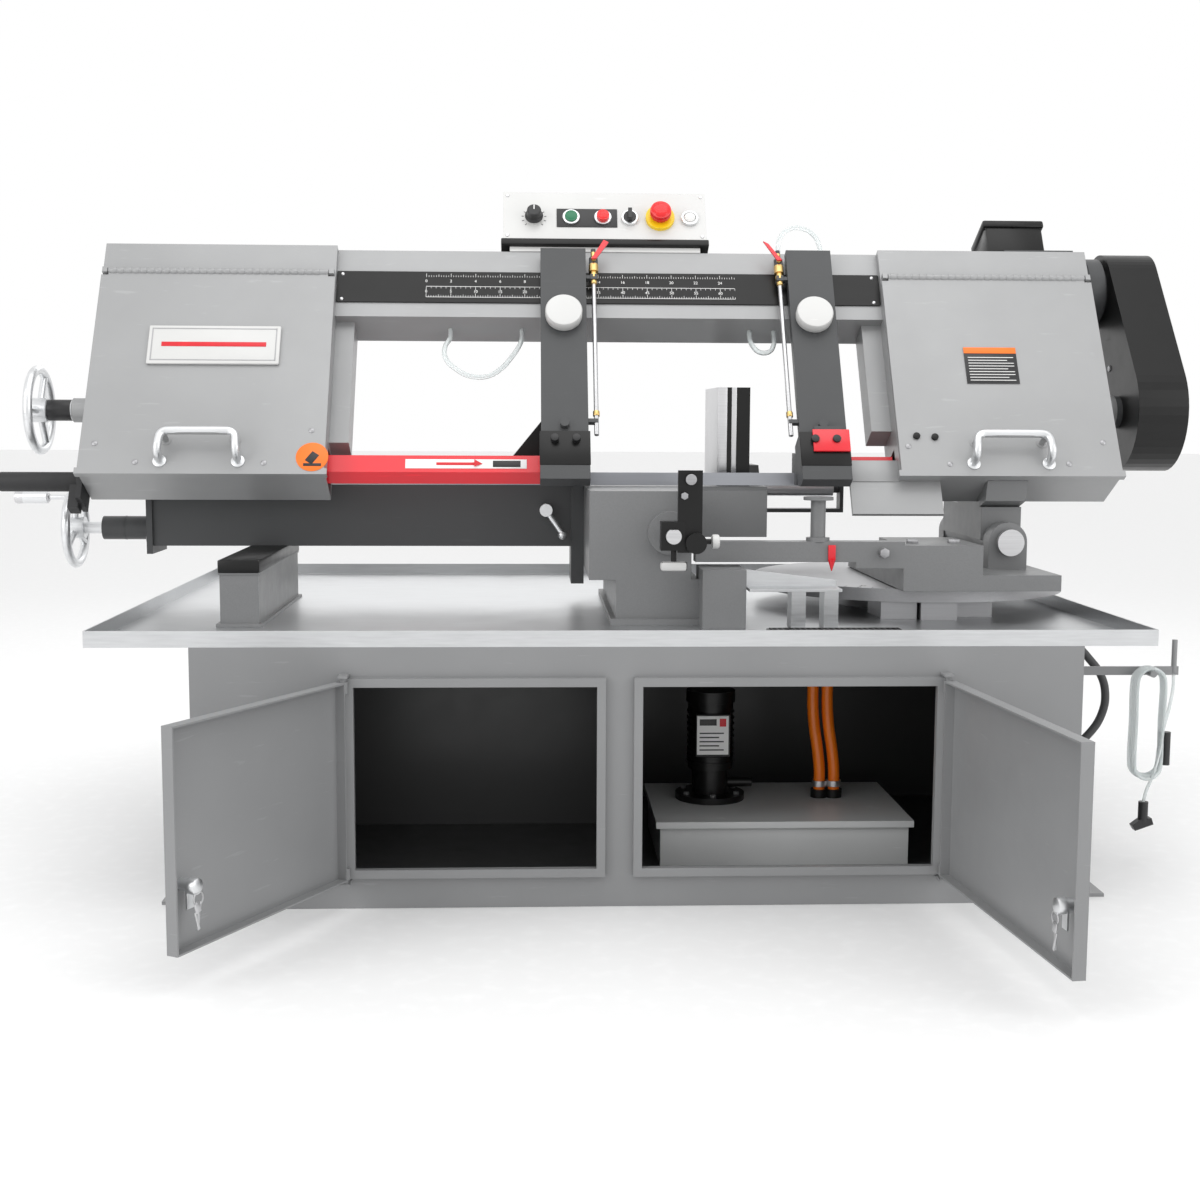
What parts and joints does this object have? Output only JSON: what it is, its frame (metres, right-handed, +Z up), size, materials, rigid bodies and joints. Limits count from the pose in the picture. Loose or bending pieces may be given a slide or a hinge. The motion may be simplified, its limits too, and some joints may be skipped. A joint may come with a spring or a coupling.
{
  "type": "band saw",
  "caption": "Horizontal swivel-head band saw with tilted bow, screw vise, chip tray and two-door coolant cabinet, for cutting bar stock",
  "frame": {"origin": "centre of the four floor anchor holes, on the floor", "axes": "+X along the saw towards the head hinge, +Y to the back, +Z up"},
  "size_m": [2.4, 1.8231, 1.3071],
  "materials": {
    "cabinet_grey": "satin powder coat",
    "tray_grey": "gloss enamel",
    "casting_grey": "painted casting",
    "cover_silver": "fine metallic paint",
    "dark_grey": "dark hammered paint",
    "black_paint": "gloss black paint",
    "machined_iron": "machined",
    "steel": "turned and ground steel",
    "chrome": "chrome plate",
    "red_paint": "gloss red paint",
    "black_rubber": "grip rubber",
    "tank_grey": "light enamel",
    "orange_hose": "glossy PVC hose",
    "grey_hose": "ribbed hose",
    "clear_hose": "clear hose",
    "black_plastic": "moulded plastic",
    "white_enamel": "white enamel",
    "green_plastic": "gloss plastic",
    "red_plastic": "gloss plastic"
  },
  "bodies": {
    "base": {"cabinet": "cabinet_grey", "chip_tray": "tray_grey", "bed_casting": "casting_grey", "roller_stand": "dark_grey", "vise_beam": "dark_grey", "beam_rest": "black_paint", "fixed_jaw": "machined_iron", "work_stop_bar": "steel", "turntable": "machined_iron", "chute": "steel", "coolant_tank": "tank_grey", "coolant_pump": "black_paint", "pump_hoses": "orange_hose", "drain_hose": "grey_hose", "hose_hanger": "steel", "wash_hose": "clear_hose", "wash_gun": "black_plastic"},
    "rear_roller": {"rear_roller": "steel"},
    "vise_wheel": {"vise_wheel": "chrome"},
    "moving_jaw": {"moving_jaw": "black_paint"},
    "vise_lock": {"vise_lock_lever": "chrome"},
    "work_stop": {"work_stop_arm": "black_paint"},
    "door_left": {"door_left": "cabinet_grey"},
    "door_right": {"door_right": "cabinet_grey"},
    "lock_left": {"lock_left": "chrome"},
    "lock_right": {"lock_right": "chrome"},
    "swivel": {"swivel_casting": "casting_grey", "hinge_pin": "steel"},
    "head": {"bow_frame": "cover_silver", "rule_plate": "black_paint", "housing_left": "cover_silver", "housing_right": "cover_silver", "blade": "steel", "gearbox": "dark_grey", "motor": "dark_grey", "belt_guard": "black_paint", "drive_belt": "black_rubber", "control_box": "white_enamel", "head_hoses": "clear_hose", "bow_handle": "black_rubber", "hinge_bracket": "casting_grey"},
    "cover_left": {"cover_left": "cover_silver"},
    "cover_right": {"cover_right": "cover_silver"},
    "idler_carriage": {"idler_carriage": "machined_iron"},
    "idler_wheel": {"idler_wheel": "machined_iron"},
    "drive_wheel": {"drive_wheel": "machined_iron"},
    "gearbox_pulley": {"gearbox_pulley": "machined_iron"},
    "motor_pulley": {"motor_pulley": "machined_iron"},
    "guide_left": {"guide_arm_left": "dark_grey", "blade_guard_left": "red_paint"},
    "guide_right": {"guide_arm_right": "dark_grey", "blade_guard_right": "red_paint"},
    "tension_wheel": {"tension_wheel": "chrome"},
    "start_button": {"start_button": "green_plastic"},
    "stop_button": {"stop_button": "red_plastic"},
    "estop_button": {"estop_button": "red_plastic"},
    "speed_knob": {"speed_knob": "black_plastic"},
    "mode_selector": {"mode_selector": "black_plastic"},
    "valve_left": {"valve_lever_left": "red_plastic"},
    "valve_right": {"valve_lever_right": "red_plastic"}
  },
  "joints": [
    {"name": "door_left_hinge", "type": "hinge", "parent": "base", "child": "door_left", "pos_m": [-0.502, -0.374, 0.2275], "axis": [0, 0, 1], "range_deg": [0, 118]},
    {"name": "door_right_hinge", "type": "hinge", "parent": "base", "child": "door_right", "pos_m": [0.521, -0.374, 0.2275], "axis": [0, 0, -1], "range_deg": [0, 96]},
    {"name": "lock_left_turn", "type": "hinge", "parent": "door_left", "child": "lock_left", "pos_m": [-0.69354, -0.73424, 0.1575], "axis": [0.8829, -0.4695, 0], "range_deg": [0, 90]},
    {"name": "lock_right_turn", "type": "hinge", "parent": "door_right", "child": "lock_right", "pos_m": [0.57337, -0.87226, 0.1575], "axis": [-0.9945, -0.1045, 0], "range_deg": [-90, 0]},
    {"name": "rear_roller_turn", "type": "hinge", "parent": "base", "child": "rear_roller", "pos_m": [0, 0.56, 0.685], "axis": [1, 0, 0], "continuous": true},
    {"name": "vise_wheel_turn", "type": "hinge", "parent": "base", "child": "vise_wheel", "pos_m": [-1.122, 0.295, 0.61], "axis": [1, 0, 0], "range_deg": [-10800, 15600]},
    {"name": "vise_jaw_slide", "type": "slide", "parent": "base", "child": "moving_jaw", "axis": [1, 0, 0], "range_m": [-0.1801, 0.2601]},
    {"name": "vise_lock_turn", "type": "hinge", "parent": "base", "child": "vise_lock", "pos_m": [-0.157, 0.22, 0.652], "axis": [0, 1, 0], "range_deg": [-20, 60]},
    {"name": "work_stop_slide", "type": "slide", "parent": "base", "child": "work_stop", "axis": [0, 1, 0], "range_m": [-0.005, 0.035]},
    {"name": "head_swivel", "type": "hinge", "parent": "base", "child": "swivel", "pos_m": [0.6, 0.29, 0.5], "axis": [0, 0, 1], "range_deg": [0, 15]},
    {"name": "head_lift", "type": "hinge", "parent": "swivel", "child": "head", "pos_m": [0.745, 0.25, 0.6], "axis": [0, 1, 0], "range_deg": [0, 45]},
    {"name": "cover_left_hinge", "type": "hinge", "parent": "head", "child": "cover_left", "pos_m": [-0.8, 0.27372, 1.12793], "axis": [-1, 0, 0], "range_deg": [0, 100]},
    {"name": "cover_right_hinge", "type": "hinge", "parent": "head", "child": "cover_right", "pos_m": [0.75, 0.27372, 1.12793], "axis": [-1, 0, 0], "range_deg": [0, 100]},
    {"name": "tension_turn", "type": "hinge", "parent": "head", "child": "tension_wheel", "pos_m": [-1.16, 0.205, 0.8489], "axis": [1, 0, 0], "range_deg": [-1080, 0]},
    {"name": "idler_slide", "type": "slide", "parent": "head", "child": "idler_carriage", "axis": [1, 0, 0], "range_m": [0, 0.0061]},
    {"name": "idler_turn", "type": "hinge", "parent": "idler_carriage", "child": "idler_wheel", "pos_m": [-0.815, 0.21925, 0.87359], "axis": [0, 0.866, -0.5], "continuous": true},
    {"name": "drive_wheel_turn", "type": "hinge", "parent": "head", "child": "drive_wheel", "pos_m": [0.745, 0.21925, 0.87359], "axis": [0, 0.866, -0.5], "continuous": true},
    {"name": "gearbox_pulley_turn", "type": "hinge", "parent": "head", "child": "gearbox_pulley", "pos_m": [1.11, 0.33799, 0.85526], "axis": [1, 0, 0], "continuous": true},
    {"name": "motor_pulley_turn", "type": "hinge", "parent": "head", "child": "motor_pulley", "pos_m": [1.11, 0.487, 1.11333], "axis": [1, 0, 0], "continuous": true},
    {"name": "guide_left_slide", "type": "slide", "parent": "head", "child": "guide_left", "axis": [1, 0, 0], "range_m": [-0.03, 0.15]},
    {"name": "guide_right_slide", "type": "slide", "parent": "head", "child": "guide_right", "axis": [1, 0, 0], "range_m": [-0.15, 0]},
    {"name": "speed_knob_turn", "type": "hinge", "parent": "head", "child": "speed_knob", "pos_m": [-0.181, 0.35565, 1.25383], "axis": [0, 0.866, -0.5], "range_deg": [0, 270]},
    {"name": "start_button_press", "type": "slide", "parent": "head", "child": "start_button", "axis": [0, 0.866, -0.5], "range_m": [0, 0.004], "stiffness_N_per_m": 400},
    {"name": "stop_button_press", "type": "slide", "parent": "head", "child": "stop_button", "axis": [0, 0.866, -0.5], "range_m": [0, 0.004], "stiffness_N_per_m": 400},
    {"name": "mode_selector_turn", "type": "hinge", "parent": "head", "child": "mode_selector", "pos_m": [0.018, 0.35565, 1.25383], "axis": [0, 0.866, -0.5], "range_deg": [-45, 45]},
    {"name": "estop_button_press", "type": "slide", "parent": "head", "child": "estop_button", "axis": [0, 0.866, -0.5], "range_m": [0, 0.006], "stiffness_N_per_m": 400},
    {"name": "valve_left_turn", "type": "hinge", "parent": "guide_left", "child": "valve_left", "pos_m": [-0.06, 0.29145, 1.15464], "axis": [0, 0.866, -0.5], "range_deg": [0, 60]},
    {"name": "valve_right_turn", "type": "hinge", "parent": "guide_right", "child": "valve_right", "pos_m": [0.32, 0.29145, 1.15464], "axis": [0, -0.866, 0.5], "range_deg": [0, 60]}
  ],
  "couplings": [
    {"joint": "vise_jaw_slide", "follows": "vise_wheel_turn", "m_per_rad": 0.00095493},
    {"joint": "idler_slide", "follows": "tension_turn", "m_per_rad": -0.00031831},
    {"joint": "gearbox_pulley_turn", "follows": "motor_pulley_turn", "ratio": 0.45652},
    {"joint": "drive_wheel_turn", "follows": "motor_pulley_turn", "ratio": 0.018261},
    {"joint": "idler_turn", "follows": "motor_pulley_turn", "ratio": 0.018261}
  ]
}
